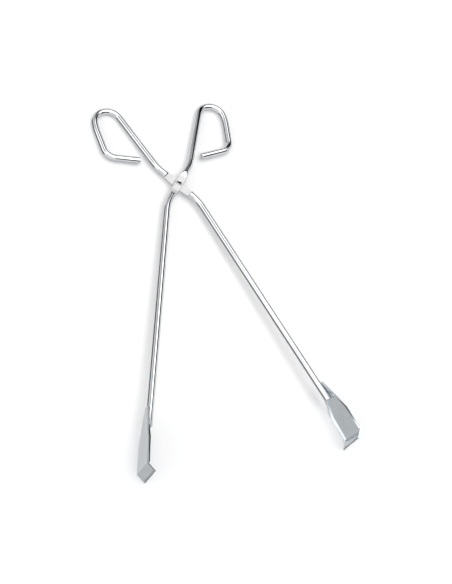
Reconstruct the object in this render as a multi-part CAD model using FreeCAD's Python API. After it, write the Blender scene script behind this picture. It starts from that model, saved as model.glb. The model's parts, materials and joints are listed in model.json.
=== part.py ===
"""Scissor tongs: two identical bent round bars, riveted where they cross, each ending in a toothed sheet jaw.

The tongs are drawn first in the pivot frame. There the rivet's axis is Z, the plane where the two pressed
flats meet is Z = 0, and Y runs from the jaws towards the handles. The rear arm lies under Z = 0, with its
handle on the left (-X) and its jaw on the right. The front arm is the same piece turned half a turn about Y.
At the end everything is laid on the ground Z = 0, as the tongs lie on a table.
"""

import FreeCAD, Part
import math
import os

os.makedirs("parts", exist_ok=True)

# Bar
BAR_DIAMETER = 6.0
BAR_END_CHAMFER = 0.4

# Arm, from the jaw to the handle. Angles are in degrees, measured from the tongs' long axis.
ARM_LENGTH = 215.0          # from the lower bend's corner to the bar's end in the jaw
ARM_SPREAD = 18.45
LOWER_BEND_RADIUS = 40.0
LOWER_BEND_OFFSET = 23.0    # from the rivet to the lower bend's corner
FLAT_SPREAD = 40.0
UPPER_BEND_OFFSET = 24.5    # from the rivet to the upper bend's corner
UPPER_BEND_RADIUS = 40.0
HANDLE_SPREAD = 23.3

# Open loop of the handle
LOOP_INNER_RUN = 53.3
LOOP_TOP_RADIUS = 12.6
LOOP_TOP_TURN = 150.2
LOOP_SIDE_RADIUS = 49.0
LOOP_SIDE_TURN = 13.3
LOOP_SIDE_RUN = 17.0
LOOP_CORNER_RADIUS = 11.3
LOOP_CORNER_TURN = 72.6
LOOP_END_RUN = 22.5

# Pressed flat at the crossing
FLAT_THICKNESS = 2.6
FLAT_WIDTH = 8.4
FLAT_HALF_LENGTH = 13.7     # from the rivet to each shoulder
FLAT_NECK_START = 8.5       # from the rivet to where the flat begins to narrow
FLAT_EDGE_RADIUS = 0.7
SHOULDER_LEDGE = 0.35       # how far the flat stands out past the bar at a shoulder
FLAT_PLAY = 0.1             # gap between the two flats
BAR_OFFSET = 0.4            # from the plane between the flats to each bar's axis
RUN_OUT_START = 7.5         # where the outer pressed face begins to run out
RUN_OUT_LENGTH = 6.5
RUN_OUT_MARGIN = 0.15       # how far the run-out's cutter goes past the bar's surface

# Rivet
RIVET_DIAMETER = 4.0
RIVET_CLEARANCE = 0.06      # radial, in the front arm's hole
RIVET_HEAD_DIAMETER = 7.6
RIVET_HEAD_HEIGHT = 1.5
RIVET_HEAD_RIM = 0.5        # height of the head's straight edge under its dome
CLINCH_DIAMETER = 5.6
CLINCH_HEIGHT = 0.9
CLINCH_PLAY = 0.08
RECESS_DIAMETER = 2.4
RECESS_DEPTH = 2.6
RECESS_TIP = 0.6            # depth of the drill cone at the recess's bottom
RECESS_MOUTH_FLARE = 0.45

# Jaw: a tray folded from sheet. Stations are measured along the bar from its end.
SHEET_THICKNESS = 0.7
NECK_OVERLAP = 16.2         # length of bar that lies in the jaw's neck
NECK_NARROWING = 0.3        # how much less than the bar's radius the neck is inside, on each side
SEAT_DEPTH = 0.08           # how far the bar is bedded into the tray's floor
FLOOR_BEND_STATION = 1.5
SHOULDER_STATION = 14.6
SHOULDER_WIDTH = 31.0
FOLD_STATION = 36.0
FOLD_WIDTH = 32.0
FLOOR_RISE = 1.2            # how far the floor comes inwards from its bend to the fold
FLANGE_HEIGHT = 1.9         # over the outside of the floor
SHEET_BEND_RADIUS = 0.85    # outside radius of the flange's bend

# Toothed lip
LIP_LENGTH = 9.3
LIP_ANGLE = 48.0            # from the bar's direction
LIP_BEND_RADIUS = 0.9       # inside radius
TOOTH_COUNT = 9
NOTCH_WIDTH = 2.3
NOTCH_DEPTH = 2.4

Vector = FreeCAD.Vector
bar_radius = BAR_DIAMETER / 2
UP = Vector(0, 0, 1)
ORIGIN = Vector(0, 0, 0)
cutter_reach = 2 * BAR_DIAMETER   # long enough to pass the bar on any side
EDGE_TOLERANCE = 0.001


def spread_direction(angle, towards_jaw):
    """Unit vector at this angle from the long axis, down to the jaw or up to the handle."""
    side = 1 if towards_jaw else -1
    return Vector(side * math.sin(math.radians(angle)), -side * math.cos(math.radians(angle)), 0)


class BarPath:
    """A centre line of straight runs and tangent arcs in a plane of constant Z."""

    def __init__(self, start, heading):
        self.point = start
        self.heading = heading
        self.edges = []

    def direction(self):
        return Vector(math.cos(math.radians(self.heading)), math.sin(math.radians(self.heading)), 0)

    def run(self, length):
        end = self.point + self.direction() * length
        self.edges.append(Part.LineSegment(self.point, end).toShape())
        self.point = end

    def turn(self, radius, angle):
        """Turns left by a positive angle and right by a negative one."""
        side = 1 if angle > 0 else -1
        to_centre = UP.cross(self.direction()) * side
        centre = self.point + to_centre * radius
        about_centre = FreeCAD.Rotation(UP, angle / 2)
        middle = centre + about_centre.multVec(self.point - centre)
        end = centre + about_centre.multVec(middle - centre)
        self.edges.append(Part.Arc(self.point, middle, end).toShape())
        self.point = end
        self.heading += angle


def corner_length(radius, angle):
    """Length that a rounded corner takes from each of its two runs."""
    return radius * math.tan(math.radians(abs(angle)) / 2)


lower_bend = FLAT_SPREAD - ARM_SPREAD
upper_bend = HANDLE_SPREAD - FLAT_SPREAD
lower_corner_length = corner_length(LOWER_BEND_RADIUS, lower_bend)
upper_corner_length = corner_length(UPPER_BEND_RADIUS, upper_bend)
bar_end = (
    spread_direction(FLAT_SPREAD, True) * LOWER_BEND_OFFSET
    + spread_direction(ARM_SPREAD, True) * ARM_LENGTH
    + Vector(0, 0, -BAR_OFFSET)
)


def bar_path():
    path = BarPath(bar_end, 90 + ARM_SPREAD)
    path.run(ARM_LENGTH - lower_corner_length)
    path.turn(LOWER_BEND_RADIUS, lower_bend)
    path.run(LOWER_BEND_OFFSET + UPPER_BEND_OFFSET - lower_corner_length - upper_corner_length)
    path.turn(UPPER_BEND_RADIUS, upper_bend)
    path.run(LOOP_INNER_RUN)
    path.turn(LOOP_TOP_RADIUS, LOOP_TOP_TURN)
    path.turn(LOOP_SIDE_RADIUS, LOOP_SIDE_TURN)
    path.run(LOOP_SIDE_RUN)
    path.turn(LOOP_CORNER_RADIUS, LOOP_CORNER_TURN)
    path.run(LOOP_END_RUN)
    return path


def chamfer_bar_ends(bar):
    """Breaks the edge of both square-cut ends."""
    rims = [edge for edge in bar.Edges if is_bar_rim(bar, edge)]
    return bar.makeChamfer(BAR_END_CHAMFER, rims)


def is_bar_rim(bar, edge):
    """A rim is a circle that bounds one of the bar's flat ends."""
    flat_ends = [face for face in bar.Faces if isinstance(face.Surface, Part.Plane)]
    return any(edge.isSame(other) for face in flat_ends for other in face.Edges)


def round_bar():
    path = bar_path()
    first_direction = spread_direction(ARM_SPREAD, False)
    section = Part.Wire(Part.Circle(bar_end, first_direction, bar_radius).toShape())
    swept = Part.Wire(path.edges).makePipeShell([section], True, False)
    return chamfer_bar_ends(swept)


def in_flat_frame(shape):
    """Turns a shape drawn with X along the flat, from jaw to handle, onto the rear arm's flat."""
    turned = shape.copy()
    turned.rotate(ORIGIN, UP, 90 + FLAT_SPREAD)
    return turned


flat_top = -FLAT_PLAY / 2
flat_bottom = flat_top - FLAT_THICKNESS


def contact_cutter():
    """Clears the contact side between the two square shoulders."""
    corner = Vector(-FLAT_HALF_LENGTH, -cutter_reach, flat_top)
    return Part.makeBox(2 * FLAT_HALF_LENGTH, 2 * cutter_reach, cutter_reach, corner)


def run_out_cutter():
    """Presses the outer side flat, with a curved run-out towards each end."""
    depth = flat_bottom + BAR_OFFSET + bar_radius
    drop = depth + RUN_OUT_MARGIN
    radius = (RUN_OUT_LENGTH**2 + drop**2) / (2 * drop)
    half_sweep = math.asin(RUN_OUT_LENGTH / radius) / 2
    outer = RUN_OUT_START + RUN_OUT_LENGTH
    run_out_end = flat_bottom - drop
    low = flat_bottom - cutter_reach

    def point(x, z):
        return Vector(x, -cutter_reach, z)

    def arc_middle(side):
        x = RUN_OUT_START + radius * math.sin(half_sweep)
        z = flat_bottom - radius * (1 - math.cos(half_sweep))
        return point(side * x, z)

    edges = [
        Part.LineSegment(point(-RUN_OUT_START, flat_bottom), point(RUN_OUT_START, flat_bottom)).toShape(),
        Part.Arc(point(RUN_OUT_START, flat_bottom), arc_middle(1), point(outer, run_out_end)).toShape(),
        Part.LineSegment(point(outer, run_out_end), point(outer, low)).toShape(),
        Part.LineSegment(point(outer, low), point(-outer, low)).toShape(),
        Part.LineSegment(point(-outer, low), point(-outer, run_out_end)).toShape(),
        Part.Arc(point(-outer, run_out_end), arc_middle(-1), point(-RUN_OUT_START, flat_bottom)).toShape(),
    ]
    return Part.Face(Part.Wire(edges)).extrude(Vector(0, 2 * cutter_reach, 0))


def pressed_plate():
    """The widened flat, narrowing towards both shoulders, with its outer edges rounded."""
    half_width = FLAT_WIDTH / 2
    end_half_width = bar_radius + SHOULDER_LEDGE
    outline = [
        Vector(-FLAT_HALF_LENGTH, -end_half_width, flat_bottom),
        Vector(-FLAT_NECK_START, -half_width, flat_bottom),
        Vector(FLAT_NECK_START, -half_width, flat_bottom),
        Vector(FLAT_HALF_LENGTH, -end_half_width, flat_bottom),
        Vector(FLAT_HALF_LENGTH, end_half_width, flat_bottom),
        Vector(FLAT_NECK_START, half_width, flat_bottom),
        Vector(-FLAT_NECK_START, half_width, flat_bottom),
        Vector(-FLAT_HALF_LENGTH, end_half_width, flat_bottom),
    ]
    face = Part.Face(Part.makePolygon(outline + outline[:1]))
    plate = face.extrude(UP * FLAT_THICKNESS)
    outer_edges = [edge for edge in plate.Edges if edge.BoundBox.ZMax < flat_bottom + FLAT_EDGE_RADIUS]
    return plate.makeFillet(FLAT_EDGE_RADIUS, outer_edges)


def arm(hole_radius):
    bar = round_bar()
    pressed = bar.cut(in_flat_frame(contact_cutter())).cut(in_flat_frame(run_out_cutter()))
    widened = pressed.fuse(in_flat_frame(pressed_plate()))
    hole = Part.makeCylinder(hole_radius, 2 * cutter_reach, Vector(0, 0, -cutter_reach), UP)
    return widened.cut(hole).removeSplitter()


# Jaw frame, from the bar's end: X goes on along the bar, Y across the jaw (up in the pivot frame), Z inwards.
floor_outside_at_neck = -(bar_radius - SEAT_DEPTH) - SHEET_THICKNESS
floor_outside_at_fold = floor_outside_at_neck + FLOOR_RISE
neck_half_width = bar_radius - NECK_NARROWING + SHEET_THICKNESS


def half_width_at(station):
    """Half the tray's width: straight from the neck to the shoulder, and straight from there to the fold."""
    if station < SHOULDER_STATION:
        share = (station + NECK_OVERLAP) / (SHOULDER_STATION + NECK_OVERLAP)
        return neck_half_width + share * (SHOULDER_WIDTH / 2 - neck_half_width)
    share = (station - SHOULDER_STATION) / (FOLD_STATION - SHOULDER_STATION)
    return SHOULDER_WIDTH / 2 + share * (FOLD_WIDTH - SHOULDER_WIDTH) / 2


def floor_outside_at(station):
    """Level of the floor's outer face: level along the neck, then rising evenly to the fold."""
    share = max(0, (station - FLOOR_BEND_STATION) / (FOLD_STATION - FLOOR_BEND_STATION))
    return floor_outside_at_neck + share * FLOOR_RISE


def tub(inset, bend_radius, overrun, wall_height):
    """A solid block under the tray's outline: sides and floor set in by the inset, bottom edges rounded."""
    start = -NECK_OVERLAP - overrun
    end = FOLD_STATION + overrun
    stations = [start, SHOULDER_STATION, end]
    near_side = [Vector(x, -half_width_at(x) + inset, -cutter_reach) for x in stations]
    far_side = [Vector(x, half_width_at(x) - inset, -cutter_reach) for x in reversed(stations)]
    plan = Part.Face(Part.makePolygon(near_side + far_side + near_side[:1])).extrude(UP * 2 * cutter_reach)
    floor_stations = [start, FLOOR_BEND_STATION, end]
    low_side = [Vector(x, -SHOULDER_WIDTH, floor_outside_at(x) + inset) for x in floor_stations]
    high_side = [point + UP * wall_height for point in reversed(low_side)]
    side = Part.Face(Part.makePolygon(low_side + high_side + low_side[:1]))
    block = plan.common(side.extrude(Vector(0, 2 * SHOULDER_WIDTH, 0)))
    return block.makeFillet(bend_radius, [edge for edge in block.Edges if is_bottom_side_edge(edge, inset)])


def is_bottom_side_edge(edge, inset):
    """True for an edge where a side wall meets the floor."""
    ends = [vertex.Point for vertex in edge.Vertexes]
    on_floor = all(abs(end.z - floor_outside_at(end.x) - inset) < EDGE_TOLERANCE for end in ends)
    on_one_side = ends[0].y * ends[1].y > 0
    return on_floor and on_one_side


def tray():
    """The folded sheet before its lip: outer block less inner one, open at the neck and at the fold."""
    outer = tub(0, SHEET_BEND_RADIUS, 0, FLANGE_HEIGHT)
    inner = tub(SHEET_THICKNESS, SHEET_BEND_RADIUS - SHEET_THICKNESS, SHEET_THICKNESS, cutter_reach)
    return outer.cut(inner)


def lip():
    """The bent strip past the fold, drawn from the side and extruded across the jaw."""
    floor_angle = math.degrees(math.atan2(FLOOR_RISE, FOLD_STATION - FLOOR_BEND_STATION))
    bend_angle = LIP_ANGLE - floor_angle
    outside = Vector(FOLD_STATION, 0, floor_outside_at_fold)
    across = Vector(0, -1, 0)
    normal = FreeCAD.Rotation(across, floor_angle).multVec(UP)
    inside = outside + normal * SHEET_THICKNESS
    centre = inside + normal * LIP_BEND_RADIUS
    half_turn = FreeCAD.Rotation(across, bend_angle / 2)

    def turned(point):
        return centre + half_turn.multVec(point - centre)

    straight = LIP_LENGTH - corner_length(LIP_BEND_RADIUS + SHEET_THICKNESS / 2, bend_angle)
    lip_direction = FreeCAD.Rotation(across, LIP_ANGLE).multVec(Vector(1, 0, 0))
    outside_end = turned(turned(outside))
    inside_end = turned(turned(inside))
    outside_tip = outside_end + lip_direction * straight
    inside_tip = inside_end + lip_direction * straight
    edges = [
        Part.LineSegment(inside, outside).toShape(),
        Part.Arc(outside, turned(outside), outside_end).toShape(),
        Part.LineSegment(outside_end, outside_tip).toShape(),
        Part.LineSegment(outside_tip, inside_tip).toShape(),
        Part.LineSegment(inside_tip, inside_end).toShape(),
        Part.Arc(inside_end, turned(inside), inside).toShape(),
    ]
    strip = Part.Face(Part.Wire(edges)).extrude(Vector(0, FOLD_WIDTH, 0))
    strip.translate(Vector(0, -FOLD_WIDTH / 2, 0))
    return strip.cut(tooth_notches(inside_tip, outside_tip, lip_direction))


def tooth_notches(inside_tip, outside_tip, lip_direction):
    """Triangular notches between the teeth, as one compound, cut square through the sheet."""
    pitch = FOLD_WIDTH / TOOTH_COUNT
    wall = inside_tip - outside_tip
    start = outside_tip - wall
    through = inside_tip + wall - start
    side_past_tip = Vector(0, NOTCH_WIDTH, 0)
    reach = lip_direction * NOTCH_DEPTH
    notches = []
    for number in range(1, TOOTH_COUNT):
        middle = start + Vector(0, number * pitch - FOLD_WIDTH / 2, 0)
        corners = [middle - reach, middle + reach + side_past_tip, middle + reach - side_past_tip]
        notches.append(Part.Face(Part.makePolygon(corners + corners[:1])).extrude(through))
    return Part.makeCompound(notches)


def jaw():
    """The jaw in the rear arm's place, with the bar bedded in its floor."""
    sheet = tray().fuse(lip()).removeSplitter()
    seat_length = NECK_OVERLAP + BAR_DIAMETER
    seat = Part.makeCylinder(bar_radius, seat_length, Vector(-seat_length, 0, 0), Vector(1, 0, 0))
    bedded = sheet.cut(seat)
    along = spread_direction(ARM_SPREAD, True)
    inwards = along.cross(UP)
    place = FreeCAD.Matrix(
        along.x, 0, inwards.x, bar_end.x,
        along.y, 0, inwards.y, bar_end.y,
        0, 1, 0, bar_end.z,
        0, 0, 0, 1,
    )
    bedded.Placement = FreeCAD.Placement(place)
    return bedded


def rivet():
    """A semi-tubular rivet: a domed head behind, a shank, and a rolled rim round a hollow in front."""
    shank = RIVET_DIAMETER / 2
    head = RIVET_HEAD_DIAMETER / 2
    rim = CLINCH_DIAMETER / 2
    recess = RECESS_DIAMETER / 2
    head_low = flat_bottom - RIVET_HEAD_HEIGHT
    head_edge = flat_bottom - RIVET_HEAD_RIM
    rim_low = -flat_bottom + CLINCH_PLAY
    rim_high = rim_low + CLINCH_HEIGHT
    rim_crest = (rim + recess + RECESS_MOUTH_FLARE) / 2
    recess_low = rim_high - RECESS_DEPTH
    dome_radius = (head**2 + (head_edge - head_low) ** 2) / (2 * (head_edge - head_low))
    dome_half_sweep = math.asin(head / dome_radius) / 2
    roll_depth = rim - rim_crest
    roll_radius = (roll_depth**2 + CLINCH_HEIGHT**2) / (2 * roll_depth)
    roll_half_sweep = math.asin(CLINCH_HEIGHT / roll_radius) / 2

    def point(radius, height):
        return Vector(radius, 0, height)

    def line(start, end):
        return Part.LineSegment(point(*start), point(*end)).toShape()

    def arc(start, middle, end):
        return Part.Arc(point(*start), point(*middle), point(*end)).toShape()

    dome_middle = (
        dome_radius * math.sin(dome_half_sweep),
        head_low + dome_radius * (1 - math.cos(dome_half_sweep)),
    )
    roll_middle = (
        rim - roll_radius * (1 - math.cos(roll_half_sweep)),
        rim_low + roll_radius * math.sin(roll_half_sweep),
    )
    edges = [
        arc((0, head_low), dome_middle, (head, head_edge)),
        line((head, head_edge), (head, flat_bottom)),
        line((head, flat_bottom), (shank, flat_bottom)),
        line((shank, flat_bottom), (shank, rim_low)),
        line((shank, rim_low), (rim, rim_low)),
        arc((rim, rim_low), roll_middle, (rim_crest, rim_high)),
        line((rim_crest, rim_high), (recess, rim_high - RECESS_MOUTH_FLARE)),
        line((recess, rim_high - RECESS_MOUTH_FLARE), (recess, recess_low)),
        line((recess, recess_low), (0, recess_low - RECESS_TIP)),
        line((0, recess_low - RECESS_TIP), (0, head_low)),
    ]
    return Part.Face(Part.Wire(edges)).revolve(ORIGIN, UP, 360)


def turned_to_front(shape):
    """The front arm's pieces are the rear arm's, turned half a turn about the long axis."""
    front = shape.copy()
    front.rotate(ORIGIN, Vector(0, 1, 0), 180)
    return front


def lying_tilt():
    """Angle about X at which the rear jaw's lower edge and the rear handle's bar reach the same level."""
    handle_top = max(edge.BoundBox.YMax for edge in bar_path().edges)
    tilts = []
    for station in (SHOULDER_STATION, FOLD_STATION):
        along = spread_direction(ARM_SPREAD, True) * station
        low_point = bar_end + along
        reach = handle_top - low_point.y
        depth = half_width_at(station)
        tilts.append(math.atan2(depth, reach) - math.asin(bar_radius / math.hypot(reach, depth)))
    return math.degrees(max(tilts))


def build():
    """Every node in the pivot frame."""
    rear_arm = arm(RIVET_DIAMETER / 2)
    front_arm = turned_to_front(arm(RIVET_DIAMETER / 2 + RIVET_CLEARANCE))
    rear_jaw = jaw()
    return {
        "rear_arm": rear_arm,
        "front_arm": front_arm,
        "rear_jaw": rear_jaw,
        "front_jaw": turned_to_front(rear_jaw),
        "pivot_rivet": rivet(),
    }


def lay_down(nodes):
    """Tilts the tongs onto jaws and handles, and moves the middle of their footprint to the origin."""
    tilt = lying_tilt()
    for shape in nodes.values():
        shape.rotate(ORIGIN, Vector(1, 0, 0), -tilt)
    box = Part.makeCompound(list(nodes.values())).optimalBoundingBox(False, False)
    shift = Vector(-(box.XMin + box.XMax) / 2, -(box.YMin + box.YMax) / 2, -box.ZMin)
    for shape in nodes.values():
        shape.translate(shift)
    return tilt, shift


nodes = build()
tilt, pivot = lay_down(nodes)
for name, shape in nodes.items():
    shape.exportStep(f"parts/{name}.step")
    verdict = "valid" if shape.isValid() else "INVALID"
    print(name, verdict, len(shape.Solids), "solid,", round(shape.Volume, 1))
print("tilt", round(tilt, 4), "pivot", [round(value, 4) for value in pivot])
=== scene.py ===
"""Riveted scissor tongs in bright chrome, lying on a pale studio floor."""

import json
import math

import bmesh
import bpy
from mathutils import Matrix, Vector

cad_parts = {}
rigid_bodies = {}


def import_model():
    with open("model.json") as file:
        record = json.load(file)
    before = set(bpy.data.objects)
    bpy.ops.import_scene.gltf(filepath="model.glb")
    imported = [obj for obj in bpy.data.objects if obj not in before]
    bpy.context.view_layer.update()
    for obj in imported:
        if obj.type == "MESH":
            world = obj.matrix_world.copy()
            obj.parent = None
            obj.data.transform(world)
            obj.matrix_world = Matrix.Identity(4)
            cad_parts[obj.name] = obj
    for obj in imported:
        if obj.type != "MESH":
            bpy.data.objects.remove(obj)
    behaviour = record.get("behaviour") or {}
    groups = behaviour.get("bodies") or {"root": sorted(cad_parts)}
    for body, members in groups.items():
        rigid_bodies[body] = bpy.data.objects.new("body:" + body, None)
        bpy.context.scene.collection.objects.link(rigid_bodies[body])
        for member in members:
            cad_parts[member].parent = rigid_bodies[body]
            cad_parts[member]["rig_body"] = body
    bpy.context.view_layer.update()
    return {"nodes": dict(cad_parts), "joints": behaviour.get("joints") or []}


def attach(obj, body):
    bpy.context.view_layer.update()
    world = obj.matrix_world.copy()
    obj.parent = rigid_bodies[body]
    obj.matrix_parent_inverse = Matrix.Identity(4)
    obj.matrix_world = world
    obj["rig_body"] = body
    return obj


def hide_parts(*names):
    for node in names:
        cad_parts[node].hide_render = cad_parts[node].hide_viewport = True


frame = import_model()

MM = 0.001
hinge = frame["joints"][0]
pivot = Vector(hinge["pos_m"])
hinge_axis = Vector(hinge["axis"]).normalized()
lying_tilt = math.atan2(hinge_axis.y, hinge_axis.z)
pivot_frame = Matrix.Translation(pivot) @ Matrix.Rotation(-lying_tilt, 4, "X")

# Camera, placed in the pivot frame: X to the right, Y towards the handles, Z along the rivet.
CAMERA_PLACE = Vector((-409.08, -504.18, 916.40)) * MM
CAMERA_RIGHT = Vector((0.91446, -0.25223, 0.31646))
CAMERA_UP = Vector((0.09825, 0.89698, 0.43102))
LENS = 76.2
SENSOR = 36.0
CLIP_START = 0.05
CLIP_END = 20

# The arm, with the CAD model's sizes, in millimetres and degrees in the pivot frame.
BAR_RADIUS = 3.0
BAR_END_CHAMFER = 0.4
BAR_OFFSET = 0.4            # how far the rear bar's centre line lies below the plane between the arms
ARM_LENGTH = 215.0
ARM_SPREAD = 18.45
LOWER_BEND_RADIUS = 40.0
LOWER_BEND_OFFSET = 23.0
FLAT_SPREAD = 40.0
UPPER_BEND_OFFSET = 24.5
UPPER_BEND_RADIUS = 40.0
HANDLE_SPREAD = 23.3
LOOP_INNER_RUN = 53.3
LOOP_TOP_RADIUS = 12.6
LOOP_TOP_TURN = 150.2
LOOP_SIDE_RADIUS = 49.0
LOOP_SIDE_TURN = 13.3
LOOP_SIDE_RUN = 17.0
LOOP_CORNER_RADIUS = 11.3
LOOP_CORNER_TURN = 72.6
LOOP_END_RUN = 22.5

# The pressed flat
FLAT_HALF_WIDTH = 4.2
FLAT_HALF_LENGTH = 13.7
FLAT_TOP = -0.05
FLAT_BOTTOM = -2.65
FLAT_WIDEST_END = 6.0       # from the rivet to where the flat begins to narrow
FLAT_NARROW_END = 17.0      # from the rivet to where it has the bar's width again
FLAT_SQUARENESS = 0.55      # at the rivet: 0 would give an elliptical section, 1 one with straight sides
RUN_OUT_START = 7.5
RUN_OUT_RADIUS = 26.0
RUN_OUT_FADE = 9.0          # length over which the outer face's satin skin turns back into the bar's
EDGE_SOFTNESS = 0.16
SHOULDER_RUN = 1.0          # length that a shoulder's wall takes along the bar
SHOULDER_MARGIN = 0.2       # how far the close stations and the painted shoulder shade reach past the wall
RIVET_HOLE_RADIUS = 2.03
DRILL_DEPTH = 20
DRILL_SIDES = 64

# How finely the bar is divided
SIDES = 72
RUN_STEP = 4.0
FLAT_STEP = 0.4
SHOULDER_STEP = 0.1
TURN_STEP = 3.0
SMOOTH_ANGLE = 40           # edges sharper than this stay sharp when shaded

# The jaw's lip. In the jaw's frame X runs along the bar to its tip, Y outwards and Z along the rivet.
LIP_ANGLE = 48.0
TOOTH_ZONE = 2.7            # depth of the toothed strip along the lip
CUT_FACE_LEAN = 0.3         # a sheared face's normal has less than this share along the lip's normal
SHEET_EDGE_BREAK = 0.1
EDGE_BREAK_SEGMENTS = 2
SHARP_EDGE_ANGLE = 35       # sharper edges than this are broken
SAME_PLANE_ANGLE = 0.5      # faces closer to one plane than this are joined
SAME_PLACE_DISTANCE = 0.001
NORMAL_WEIGHT = 100

# Studio. Directions are degrees: azimuth from +Y towards +X, and elevation, negative below the horizon.
# Reflections don't show the floor, so what the metal mirrors from below is the world under the horizon.
FLOOR_COLOR = (0.95, 0.95, 0.955)
FLOOR_SIZE = 6.0
SKY_LOW = 0.95
SKY_MIDDLE = 0.72
SKY_TOP = 2.4
LOW_TO_MIDDLE = (5, 40)     # elevations between which the sky goes from low to middle
CEILING_EDGE = (47, 55)     # elevations between which the bright ceiling begins
PALE_BACKDROP = (0.93, 0.93, 0.935)

STUDIO_CARDS = {
    # name: azimuth from, to, elevation from, to, brightness
    "grey_over_left": (-74, -2, 48, 73, 0.5),
    "grey_edge_left": (-110, -74, 47, 57, 0.5),
    "left_softbox": (-112, -58, 13, 44, 1.7),
    "grey_ahead": (-36, 6, 6, 46, 0.5),
    "dark_far_right": (0, 82, 22, 53, 0.0),
    "pale_far_ahead": (8, 27, 14, 33, 0.75),
    "dark_front_right": (112, 178, 14, 50, 0.03),
    "dark_low_left": (-106, -34, -42, 4, 0.1),
    "grey_underneath": (-190, 190, -100, -46, 0.61),
    "paler_under_ahead": (-48, 24, -100, -46, 0.72),
}
CARD_SOFTNESS = 3.5

# A small black card over the front jaw, in the pivot frame
BLACK_FLAG_HALF_WIDTH = 22 * MM
BLACK_FLAG_HALF_LENGTH = 40 * MM
BLACK_FLAG_PLACE = Vector((-44, -200, 150)) * MM

# Metals. A pair holds the value where a noise is low and where it is high. Noise scales are per metre.
CLOUD_SPAN = (0.3, 0.7)         # a noise's values at the two ends of a soft pattern
GRAIN_SPAN = (0.35, 0.65)       # the same for a crisp pattern
SATIN_SPAN = (0.1, 0.45)        # the "pressed" attribute's values between which the skin turns satin
SHOULDER_SHADE_SPAN = (0.1, 0.6)          # the "shoulder" attribute's values between which the painted shoulder shade comes in

BAR_COLORS = ((0.65, 0.66, 0.68, 1), (0.74, 0.75, 0.77, 1))
BAR_ROUGHNESS = (0.035, 0.08)
BAR_CLOUD = {"scale": 45, "detail": 4}
DRAWN_LINE_SCALES = (12, 1600, 1600)
DRAWN_LINE_HEIGHT = 0.12        # against the mottle's height of 1
BAR_RELIEF = {"strength": 0.2, "distance": 0.00003}
SATIN_COLORS = ((0.74, 0.745, 0.75, 1), (0.85, 0.85, 0.85, 1))
SATIN_ROUGHNESS = (0.34, 0.5)   # added to the bar's own
# Painted shade: near-black colours on the shoulders' walls stand in for the shade on the steps
SHOULDER_SHADE_COLORS = ((0.05, 0.05, 0.05, 1), (0.16, 0.16, 0.16, 1))
MOTTLE = {"scale": 650, "detail": 5, "roughness": 0.6}

SHEET_COLORS = ((0.66, 0.70, 0.73, 1), (0.72, 0.76, 0.79, 1))
RUBBED_COLOR = (0.82, 0.83, 0.84, 1)
SHEET_ROUGHNESS = (0.11, 0.17)
SHEET_CLOUD = {"scale": 60, "detail": 4}
ROLLED_LINE_SCALES = (2600, 60, 2600)
SHEET_RELIEF = {"strength": 0.05, "distance": 0.00003}

# Painted shade: the teeth's cut faces are near-black where the notches fall into shade
CUT_FACE_SHADE_COLORS = ((0.035, 0.034, 0.033, 1), (0.11, 0.105, 0.10, 1))
CUT_ROUGHNESS = (0.35, 0.6)
CUT_GRAIN = {"scale": 1800, "detail": 4, "roughness": 0.6}
CUT_RELIEF = {"strength": 0.3, "distance": 0.00005}

RIVET_COLORS = ((0.50, 0.50, 0.51, 1), (0.72, 0.72, 0.73, 1))
RIVET_ROUGHNESS = (0.12, 0.25)
RIVET_CLOUD = {"scale": 300, "detail": 4}
# Painted shade in the rivet's front hollow, near the hinge axis
HOLLOW_SHADE_COLOR = (0.06, 0.06, 0.06, 1)
HOLLOW_RADIUS = 1.25
HOLLOW_FADE = 0.3               # width of the ring in which the hollow's painted shade ends


def make_camera():
    data = bpy.data.cameras.new("camera")
    data.lens = LENS
    data.sensor_width = SENSOR
    data.clip_start = CLIP_START
    data.clip_end = CLIP_END
    camera = bpy.data.objects.new("camera", data)
    bpy.context.scene.collection.objects.link(camera)
    right = CAMERA_RIGHT.normalized()
    back = right.cross(CAMERA_UP).normalized()
    up = back.cross(right)
    turn = Matrix((right, up, back)).transposed().to_4x4()
    camera.matrix_world = pivot_frame @ Matrix.Translation(CAMERA_PLACE) @ turn
    bpy.context.scene.camera = camera


class Nodes:
    """Short calls for adding nodes to one node tree."""

    def __init__(self, tree):
        self.tree = tree

    def add(self, kind, **settings):
        node = self.tree.nodes.new("ShaderNode" + kind)
        for name, value in settings.items():
            setattr(node, name, value)
        return node

    def link(self, value, socket):
        """Feeds a socket from another node's output, or sets it to a fixed value."""
        if isinstance(value, bpy.types.NodeSocket):
            self.tree.links.new(value, socket)
        else:
            socket.default_value = value

    def math(self, operation, *values):
        node = self.add("Math", operation=operation)
        for value, socket in zip(values, node.inputs):
            self.link(value, socket)
        return node.outputs[0]

    def vector(self, operation, first, second):
        node = self.add("VectorMath", operation=operation)
        self.link(first, node.inputs[0])
        self.link(second, node.inputs[1])
        return node.outputs[0]

    def ramp(self, value, start, end, low=0.0, high=1.0):
        """Goes smoothly from low at start to high at end, and is level outside them."""
        node = self.add("MapRange", interpolation_type="SMOOTHSTEP")
        for item, socket in zip((value, start, end, low, high), node.inputs):
            self.link(item, socket)
        return node.outputs[0]

    def noise(self, place, scale, detail, roughness=0.5):
        node = self.add("TexNoise")
        self.link(place, node.inputs["Vector"])
        node.inputs["Scale"].default_value = scale
        node.inputs["Detail"].default_value = detail
        node.inputs["Roughness"].default_value = roughness
        return node.outputs["Fac"]

    def mix(self, factor, low, high):
        node = self.add("Mix", data_type="RGBA")
        self.link(factor, node.inputs["Factor"])
        self.link(low, node.inputs["A"])
        self.link(high, node.inputs["B"])
        return node.outputs["Result"]

    def bump(self, height, strength, distance):
        node = self.add("Bump")
        node.inputs["Strength"].default_value = strength
        node.inputs["Distance"].default_value = distance
        self.link(height, node.inputs["Height"])
        return node.outputs["Normal"]


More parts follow.
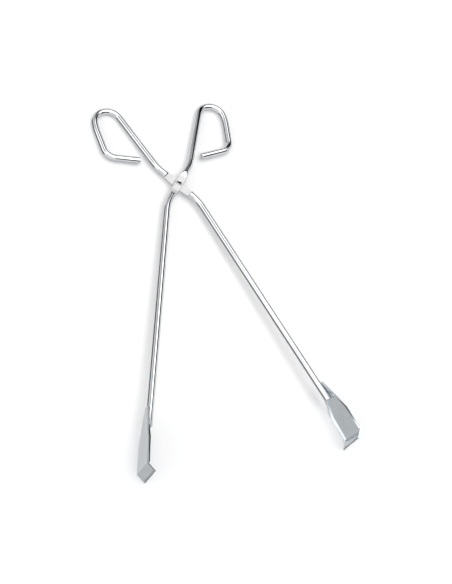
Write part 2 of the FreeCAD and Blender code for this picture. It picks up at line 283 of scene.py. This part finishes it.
def make_floor():
    bpy.ops.mesh.primitive_plane_add(size=FLOOR_SIZE, location=(0, 0, 0))
    floor = bpy.context.object
    floor.name = "floor"
    material = bpy.data.materials.new("floor")
    material.use_nodes = True
    shader = material.node_tree.nodes["Principled BSDF"]
    shader.inputs["Base Color"].default_value = (*FLOOR_COLOR, 1)
    shader.inputs["Roughness"].default_value = 1.0
    shader.inputs["Specular IOR Level"].default_value = 0.0
    floor.data.materials.append(material)
    floor.visible_glossy = False


def make_world():
    """A bright ceiling and a pale middle, with light and dark cards all round for the metal to mirror."""
    world = bpy.data.worlds.new("studio")
    bpy.context.scene.world = world
    world.use_nodes = True
    nodes = Nodes(world.node_tree)
    background = world.node_tree.nodes["Background"]
    parts = nodes.add("SeparateXYZ")
    nodes.link(nodes.add("TexCoord").outputs["Generated"], parts.inputs[0])
    x, y, z = parts.outputs
    azimuth = nodes.math("DEGREES", nodes.math("ARCTAN2", x, y))
    elevation = nodes.math("DEGREES", nodes.math("ARCSINE", z))
    low = nodes.ramp(elevation, *LOW_TO_MIDDLE, SKY_LOW, SKY_MIDDLE)
    brightness = nodes.math("MAXIMUM", low, nodes.ramp(elevation, *CEILING_EDGE, 0, SKY_TOP))

    def inside(value, start, end):
        enter = nodes.ramp(value, start - CARD_SOFTNESS, start + CARD_SOFTNESS)
        leave = nodes.ramp(value, end - CARD_SOFTNESS, end + CARD_SOFTNESS, 1, 0)
        return nodes.math("MULTIPLY", enter, leave)

    for left, right, bottom, top, level in STUDIO_CARDS.values():
        mask = nodes.math("MULTIPLY", inside(azimuth, left, right), inside(elevation, bottom, top))
        kept = nodes.math("MULTIPLY", brightness, nodes.math("SUBTRACT", 1.0, mask))
        brightness = nodes.math("MULTIPLY_ADD", mask, level, kept)
    seen = nodes.mix(nodes.add("LightPath").outputs["Is Camera Ray"], brightness, (*PALE_BACKDROP, 1))
    nodes.link(seen, background.inputs["Color"])
    background.inputs["Strength"].default_value = 1.0


def metal(name):
    """An empty metal material: its nodes, its shader and the place on the object."""
    material = bpy.data.materials.new(name)
    material.use_nodes = True
    nodes = Nodes(material.node_tree)
    shader = material.node_tree.nodes["Principled BSDF"]
    shader.inputs["Metallic"].default_value = 1
    place = nodes.add("TexCoord").outputs["Object"]
    return material, nodes, shader, place


def bar_chrome():
    """Bright plating with faint drawn lines, satin where it was pressed, and painted shade on the
    shoulders' walls.
    """
    material, nodes, shader, place = metal("bar_chrome")
    straight = nodes.add("Attribute", attribute_name="straight_bar").outputs["Vector"]
    drawn_lines = nodes.noise(nodes.vector("MULTIPLY", straight, DRAWN_LINE_SCALES), scale=1.0, detail=2)
    cloud = nodes.noise(place, **BAR_CLOUD)
    mottle = nodes.noise(place, **MOTTLE)
    pressed = nodes.ramp(nodes.add("Attribute", attribute_name="pressed").outputs["Fac"], *SATIN_SPAN)
    shoulder = nodes.ramp(nodes.add("Attribute", attribute_name="shoulder").outputs["Fac"], *SHOULDER_SHADE_SPAN)

    bright = nodes.mix(nodes.ramp(cloud, *CLOUD_SPAN), *BAR_COLORS)
    satin = nodes.mix(nodes.ramp(mottle, *GRAIN_SPAN), *SATIN_COLORS)
    # Painted shade: the shoulders' walls get a near-black colour
    painted_shoulder_shade = nodes.mix(nodes.ramp(mottle, *GRAIN_SPAN), *SHOULDER_SHADE_COLORS)
    plating = nodes.mix(pressed, bright, satin)
    nodes.link(nodes.mix(shoulder, plating, painted_shoulder_shade), shader.inputs["Base Color"])

    polish = nodes.ramp(cloud, *CLOUD_SPAN, *BAR_ROUGHNESS)
    added = nodes.ramp(mottle, *CLOUD_SPAN, *SATIN_ROUGHNESS)
    nodes.link(nodes.math("MULTIPLY_ADD", pressed, added, polish), shader.inputs["Roughness"])

    dents = nodes.math("MULTIPLY", mottle, pressed)
    height = nodes.math("MULTIPLY_ADD", drawn_lines, DRAWN_LINE_HEIGHT, dents)
    nodes.link(nodes.bump(height, **BAR_RELIEF), shader.inputs["Normal"])
    return material


def jaw_sheet():
    """Rolled, polished sheet: cloudy, with faint rolling lines and brighter rubbed edges."""
    material, nodes, shader, place = metal("jaw_sheet")
    cloud = nodes.noise(place, **SHEET_CLOUD)
    rolled_lines = nodes.noise(nodes.vector("MULTIPLY", place, ROLLED_LINE_SCALES), scale=1.0, detail=3)
    edge = nodes.add("Attribute", attribute_name="rubbed_edge").outputs["Fac"]
    color = nodes.mix(nodes.ramp(cloud, *CLOUD_SPAN), *SHEET_COLORS)
    nodes.link(nodes.mix(edge, color, RUBBED_COLOR), shader.inputs["Base Color"])
    nodes.link(nodes.ramp(cloud, *CLOUD_SPAN, *SHEET_ROUGHNESS), shader.inputs["Roughness"])
    nodes.link(nodes.bump(rolled_lines, **SHEET_RELIEF), shader.inputs["Normal"])
    return material


def cut_steel_with_painted_shade():
    """The sheared faces of the teeth: rough, with the notches' shade painted into their near-black
    colour.
    """
    material, nodes, shader, place = metal("cut_steel_with_painted_shade")
    grain = nodes.noise(place, **CUT_GRAIN)
    # Painted shade: a near-black colour for the notches, with real roughness and grain
    nodes.link(nodes.mix(nodes.ramp(grain, *GRAIN_SPAN), *CUT_FACE_SHADE_COLORS), shader.inputs["Base Color"])
    nodes.link(nodes.ramp(grain, *CLOUD_SPAN, *CUT_ROUGHNESS), shader.inputs["Roughness"])
    nodes.link(nodes.bump(grain, **CUT_RELIEF), shader.inputs["Normal"])
    return material


def rivet_metal(rivet):
    """Plated steel, with shade painted dark near the hinge axis: in the front hollow and on the middle of
    the rear head.
    """
    material, nodes, shader, place = metal("rivet_metal")
    to_rivet = rivet.matrix_world.inverted()
    from_pivot = nodes.vector("SUBTRACT", place, to_rivet @ pivot)
    swing = nodes.vector("CROSS_PRODUCT", from_pivot, to_rivet.to_3x3() @ hinge_axis)
    reach = nodes.add("VectorMath", operation="LENGTH")
    nodes.link(swing, reach.inputs[0])
    hollow_end = (HOLLOW_RADIUS + HOLLOW_FADE) * MM
    # Painted shade: the colour turns near-black within the hollow's radius of the hinge axis
    hollow_shade = nodes.ramp(reach.outputs["Value"], HOLLOW_RADIUS * MM, hollow_end, 1, 0)
    cloud = nodes.noise(place, **RIVET_CLOUD)
    color = nodes.mix(nodes.ramp(cloud, *CLOUD_SPAN), *RIVET_COLORS)
    nodes.link(nodes.mix(hollow_shade, color, HOLLOW_SHADE_COLOR), shader.inputs["Base Color"])
    nodes.link(nodes.ramp(cloud, *CLOUD_SPAN, *RIVET_ROUGHNESS), shader.inputs["Roughness"])
    return material


def smooth_step(value, start, end):
    share = min(1.0, max(0.0, (value - start) / (end - start)))
    return share * share * (3 - 2 * share)


def soft_min(first, second, softness):
    """The smaller of two values, rounded off where they are nearly equal."""
    share = max(softness - abs(first - second), 0.0) / softness
    return min(first, second) - share * share * softness / 4


def half_turn(front):
    """The front half is the rear one turned half a turn about the tongs' long axis."""
    return Matrix.Rotation(math.pi, 4, "Y") if front else Matrix.Identity(4)


def jaw_direction(angle):
    """Unit vector at this angle from the long axis, down to the rear arm's jaw."""
    return Vector((math.sin(math.radians(angle)), -math.cos(math.radians(angle))))


def heading_direction(heading):
    return Vector((math.cos(heading), math.sin(heading)))


def corner_length(radius, angle):
    """From a rounded corner's point to where its arc begins."""
    return radius * math.tan(math.radians(abs(angle)) / 2)


class Route:
    """Stations along the bar's centre line: (distance along it, place, heading in radians)."""

    def __init__(self, place, heading):
        self.place = place
        self.heading = math.radians(heading)
        self.length = 0.0
        self.stations = []

    def mark(self):
        self.stations.append((self.length, self.place.copy(), self.heading))

    def go(self, length):
        self.place += heading_direction(self.heading) * length
        self.length += length

    def run(self, length, stops=None):
        """A straight run, with stations every few millimetres or at these distances from its start."""
        count = math.ceil(length / RUN_STEP)
        stops = stops or [length * number / count for number in range(count)]
        done = 0.0
        for stop in stops:
            self.go(stop - done)
            self.mark()
            done = stop
        self.go(length - done)

    def turn(self, radius, angle):
        """Turns left by a positive angle and right by a negative one."""
        count = math.ceil(abs(angle) / TURN_STEP)
        step = math.radians(angle) / count
        for _ in range(count):
            self.mark()
            self.heading += step / 2
            self.place += heading_direction(self.heading) * 2 * radius * math.sin(abs(step) / 2)
            self.heading += step / 2
            self.length += radius * abs(step)


def flat_stops(start, end):
    """Distances from the rivet, from start to end: even, and close together at both shoulders."""
    count = math.ceil((end - start) / FLAT_STEP)
    even = [start + (end - start) * number / count for number in range(count)]
    close_count = round((SHOULDER_RUN + 2 * SHOULDER_MARGIN) / SHOULDER_STEP)
    close = [side * (FLAT_HALF_LENGTH - SHOULDER_MARGIN + number * SHOULDER_STEP)
             for side in (-1, 1) for number in range(close_count + 1)]
    too_near = FLAT_STEP / 4
    kept = [stop for stop in even if all(abs(stop - other) > too_near for other in close)]
    return sorted(kept + close)


def arm_route():
    """The rear arm's centre line and the distance along it at which the rivet stands."""
    lower_bend = FLAT_SPREAD - ARM_SPREAD
    upper_bend = HANDLE_SPREAD - FLAT_SPREAD
    lower = corner_length(LOWER_BEND_RADIUS, lower_bend)
    upper = corner_length(UPPER_BEND_RADIUS, upper_bend)
    end = jaw_direction(FLAT_SPREAD) * LOWER_BEND_OFFSET + jaw_direction(ARM_SPREAD) * ARM_LENGTH
    route = Route(end, 90 + ARM_SPREAD)
    route.run(ARM_LENGTH - lower)
    route.turn(LOWER_BEND_RADIUS, lower_bend)
    flat_start = lower - LOWER_BEND_OFFSET
    flat_end = UPPER_BEND_OFFSET - upper
    rivet_distance = route.length - flat_start
    route.run(flat_end - flat_start, [stop - flat_start for stop in flat_stops(flat_start, flat_end)])
    route.turn(UPPER_BEND_RADIUS, upper_bend)
    route.run(LOOP_INNER_RUN)
    route.turn(LOOP_TOP_RADIUS, LOOP_TOP_TURN)
    route.turn(LOOP_SIDE_RADIUS, LOOP_SIDE_TURN)
    route.run(LOOP_SIDE_RUN)
    route.turn(LOOP_CORNER_RADIUS, LOOP_CORNER_TURN)
    route.run(LOOP_END_RUN)
    route.mark()
    return route, rivet_distance


def contact_level(from_rivet):
    """Highest level of the bar: the contact face between the shoulders, and no limit past them."""
    past = smooth_step(abs(from_rivet), FLAT_HALF_LENGTH, FLAT_HALF_LENGTH + SHOULDER_RUN)
    return FLAT_TOP + past * 2 * BAR_RADIUS


def outer_level(from_rivet):
    """Lowest level of the bar: the outer pressed face, which runs out in an arc towards each end."""
    past = min(max(0.0, abs(from_rivet) - RUN_OUT_START), RUN_OUT_RADIUS)
    return FLAT_BOTTOM - RUN_OUT_RADIUS + math.sqrt(RUN_OUT_RADIUS**2 - past**2)


def at_contact_level(from_rivet, level):
    """1 on the contact face and the shoulders' walls, and 0 below them."""
    contact = contact_level(from_rivet)
    return smooth_step(level, contact - EDGE_SOFTNESS, contact)


def pressed_share(from_rivet):
    """1 in the middle of the flat, and 0 where the bar is round."""
    return 1 - smooth_step(abs(from_rivet), FLAT_WIDEST_END, FLAT_NARROW_END)


def pressed_face_share(from_rivet, level):
    """1 on the two pressed faces, and 0 on the bar's own skin."""
    outer = outer_level(from_rivet)
    near_outer = smooth_step(-level, -outer - EDGE_SOFTNESS, -outer)
    fade = 1 - smooth_step(abs(from_rivet), RUN_OUT_START, RUN_OUT_START + RUN_OUT_FADE)
    return max(at_contact_level(from_rivet, level), near_outer * fade)


def shoulder_shade_share(from_rivet, level):
    """1 on a shoulder's wall, where shade is painted into the colour, and 0 elsewhere."""
    wall_end = FLAT_HALF_LENGTH + SHOULDER_RUN
    entered = smooth_step(abs(from_rivet), FLAT_HALF_LENGTH - SHOULDER_MARGIN, FLAT_HALF_LENGTH)
    left = smooth_step(abs(from_rivet), wall_end, wall_end + SHOULDER_MARGIN)
    return entered * (1 - left) * at_contact_level(from_rivet, level)


def section_point(from_rivet, angle):
    """Where the bar's surface is at this angle round it: (across, level)."""
    pressed = pressed_share(from_rivet)
    half_width = BAR_RADIUS + pressed * (FLAT_HALF_WIDTH - BAR_RADIUS)
    fullness = 1 - FLAT_SQUARENESS * pressed
    across = math.copysign(half_width * abs(math.cos(angle)) ** fullness, math.cos(angle))
    level = BAR_RADIUS * math.sin(angle) - BAR_OFFSET
    level = soft_min(level, contact_level(from_rivet), EDGE_SOFTNESS)
    level = -soft_min(-level, -outer_level(from_rivet), EDGE_SOFTNESS)
    return across, level


def arm_mesh(name, front):
    """A bar swept along the arm's route, with chamfered ends."""
    route, rivet_distance = arm_route()
    mesh = bpy.data.meshes.new(name)
    work = bmesh.new()
    straight = work.verts.layers.float_vector.new("straight_bar")
    pressed = work.verts.layers.float.new("pressed")
    shoulder = work.verts.layers.float.new("shoulder")
    to_scene = pivot_frame @ Matrix.Scale(MM, 4) @ half_turn(front)

    def ring(distance, place, heading, inset=0.0):
        sideways = Vector((-math.sin(heading), math.cos(heading)))
        from_rivet = distance - rivet_distance
        verts = []
        for number in range(SIDES):
            angle = 2 * math.pi * (number + 0.5) / SIDES
            across, level = section_point(from_rivet, angle)
            across -= inset * math.cos(angle)
            level -= inset * math.sin(angle)
            spot = place + sideways * across
            vert = work.verts.new(to_scene @ Vector((spot.x, spot.y, level)))
            vert[straight] = Vector((distance, across, level)) * MM
            vert[pressed] = pressed_face_share(from_rivet, level)
            vert[shoulder] = shoulder_shade_share(from_rivet, level)
            verts.append(vert)
        return verts

    (start, start_place, start_heading), *between, (end, end_place, end_heading) = route.stations
    ahead = heading_direction(start_heading) * BAR_END_CHAMFER
    back = heading_direction(end_heading) * BAR_END_CHAMFER
    rings = [ring(start, start_place, start_heading, BAR_END_CHAMFER)]
    rings.append(ring(start + BAR_END_CHAMFER, start_place + ahead, start_heading))
    rings += [ring(*station) for station in between]
    rings.append(ring(end - BAR_END_CHAMFER, end_place - back, end_heading))
    rings.append(ring(end, end_place, end_heading, BAR_END_CHAMFER))
    for one, other in zip(rings, rings[1:]):
        for number in range(SIDES):
            after = (number + 1) % SIDES
            work.faces.new((one[number], one[after], other[after], other[number]))
    work.faces.new(list(reversed(rings[0])))
    work.faces.new(rings[-1])
    bmesh.ops.recalc_face_normals(work, faces=work.faces)
    work.to_mesh(mesh)
    work.free()
    return mesh


def add_piece(name, mesh, node, slot, *materials):
    """Links a piece that stands for a CAD node and rides on the node's body."""
    piece = bpy.data.objects.new(name, mesh)
    bpy.context.scene.collection.objects.link(piece)
    for material in materials:
        mesh.materials.append(material)
    mesh.shade_smooth()
    mesh.set_sharp_from_angle(angle=math.radians(SMOOTH_ANGLE))
    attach(piece, frame["nodes"][node]["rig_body"])
    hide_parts(node)
    return piece


def apply_modifiers(piece):
    bpy.context.view_layer.update()
    mesh = bpy.data.meshes.new_from_object(piece.evaluated_get(bpy.context.evaluated_depsgraph_get()))
    piece.modifiers.clear()
    piece.data = mesh


def drill(piece):
    """Cuts the rivet's hole through an arm's flat."""
    bpy.ops.mesh.primitive_cylinder_add(
        vertices=DRILL_SIDES, radius=RIVET_HOLE_RADIUS * MM, depth=DRILL_DEPTH * MM)
    drill_bit = bpy.context.object
    drill_bit.matrix_world = pivot_frame
    cut = piece.modifiers.new("hole", "BOOLEAN")
    cut.object = drill_bit
    cut.operation = "DIFFERENCE"
    cut.solver = "EXACT"
    apply_modifiers(piece)
    bpy.data.objects.remove(drill_bit)


def make_arm(name, front, material):
    node = "front_arm" if front else "rear_arm"
    piece = add_piece(name, arm_mesh(name, front), node, "bar_chrome", material)
    drill(piece)


def mark_cut_faces(work, front):
    """Gives the sheared faces of the lip's teeth the jaw's second material, which has the notches' shade
    painted in.
    """
    along_bar = Matrix.Rotation(math.radians(ARM_SPREAD - 90), 4, "Z")
    to_jaw = (pivot_frame @ half_turn(front) @ along_bar).inverted()
    lip_angle = math.radians(LIP_ANGLE)
    lip_along = Vector((math.cos(lip_angle), -math.sin(lip_angle), 0))
    lip_normal = Vector((math.sin(lip_angle), math.cos(lip_angle), 0))
    tip = max((to_jaw @ vert.co) @ lip_along for vert in work.verts)
    for face in work.faces:
        normal = (to_jaw.to_3x3() @ face.normal).normalized()
        depth = tip - (to_jaw @ face.calc_center_median()) @ lip_along
        is_cut = depth < TOOTH_ZONE * MM and abs(normal @ lip_normal) < CUT_FACE_LEAN
        face.material_index = 1 if is_cut else 0


def break_sharp_edges(work):
    """Bevels the sheet's sharp edges and marks the new faces as rubbed."""
    rubbed = work.faces.layers.float.new("rubbed_edge")
    limit = math.radians(SHARP_EDGE_ANGLE)
    sharp = [edge for edge in work.edges if edge.is_manifold and edge.calc_face_angle() > limit]
    broken = bmesh.ops.bevel(work, geom=sharp, offset=SHEET_EDGE_BREAK * MM, segments=EDGE_BREAK_SEGMENTS,
                             profile=0.5, affect="EDGES", clamp_overlap=True, material=-1)
    for face in broken["faces"]:
        face[rubbed] = 1.0


def weight_normals(piece):
    """Makes the normals at the broken edges follow the large flat faces beside them."""
    weighting = piece.modifiers.new("weighting", "WEIGHTED_NORMAL")
    weighting.keep_sharp = True
    weighting.weight = NORMAL_WEIGHT
    apply_modifiers(piece)


def make_jaw(name, node, front, sheet, cut_steel_shade):
    """The CAD's folded sheet, with its edges broken and the notches' shade painted onto the teeth's cut
    faces.
    """
    work = bmesh.new()
    work.from_mesh(frame["nodes"][node].data)
    bmesh.ops.remove_doubles(work, verts=work.verts, dist=SAME_PLACE_DISTANCE * MM)
    bmesh.ops.dissolve_limit(
        work, angle_limit=math.radians(SAME_PLANE_ANGLE), verts=work.verts, edges=work.edges)
    mark_cut_faces(work, front)
    break_sharp_edges(work)
    mesh = bpy.data.meshes.new(name)
    work.to_mesh(mesh)
    work.free()
    piece = add_piece(name, mesh, node, "jaw_sheet", sheet, cut_steel_shade)
    weight_normals(piece)


def make_black_flag():
    """The front jaw's near flange mirrors this card. Only reflections show it."""
    flag = bpy.data.objects.new("black_flag", bpy.data.meshes.new("black_flag"))
    half_width, half_length = BLACK_FLAG_HALF_WIDTH, BLACK_FLAG_HALF_LENGTH
    corners = [(-half_width, -half_length, 0), (half_width, -half_length, 0),
               (half_width, half_length, 0), (-half_width, half_length, 0)]
    flag.data.from_pydata(corners, [], [(0, 1, 2, 3)])
    flag.matrix_world = pivot_frame @ Matrix.Translation(BLACK_FLAG_PLACE)
    bpy.context.scene.collection.objects.link(flag)
    material = bpy.data.materials.new("black_flag")
    material.use_nodes = True
    shader = material.node_tree.nodes["Principled BSDF"]
    shader.inputs["Base Color"].default_value = (0, 0, 0, 1)
    shader.inputs["Specular IOR Level"].default_value = 0
    flag.data.materials.append(material)
    flag.visible_camera = False
    flag.visible_diffuse = False
    flag.visible_shadow = False


def dress_rivet():
    """The rivet is the CAD node itself, in its own metal."""
    rivet = frame["nodes"]["pivot_rivet"]
    rivet.data.materials.clear()
    rivet.data.materials.append(rivet_metal(rivet))


make_camera()
make_floor()
make_world()
make_black_flag()
chrome = bar_chrome()
sheet = jaw_sheet()
cut_steel_shade = cut_steel_with_painted_shade()
make_arm("rear_arm_bar", False, chrome)
make_arm("front_arm_bar", True, chrome)
make_jaw("rear_jaw_tray", "rear_jaw", False, sheet, cut_steel_shade)
make_jaw("front_jaw_tray", "front_jaw", True, sheet, cut_steel_shade)
dress_rivet()
bpy.context.scene.view_settings.view_transform = "Standard"
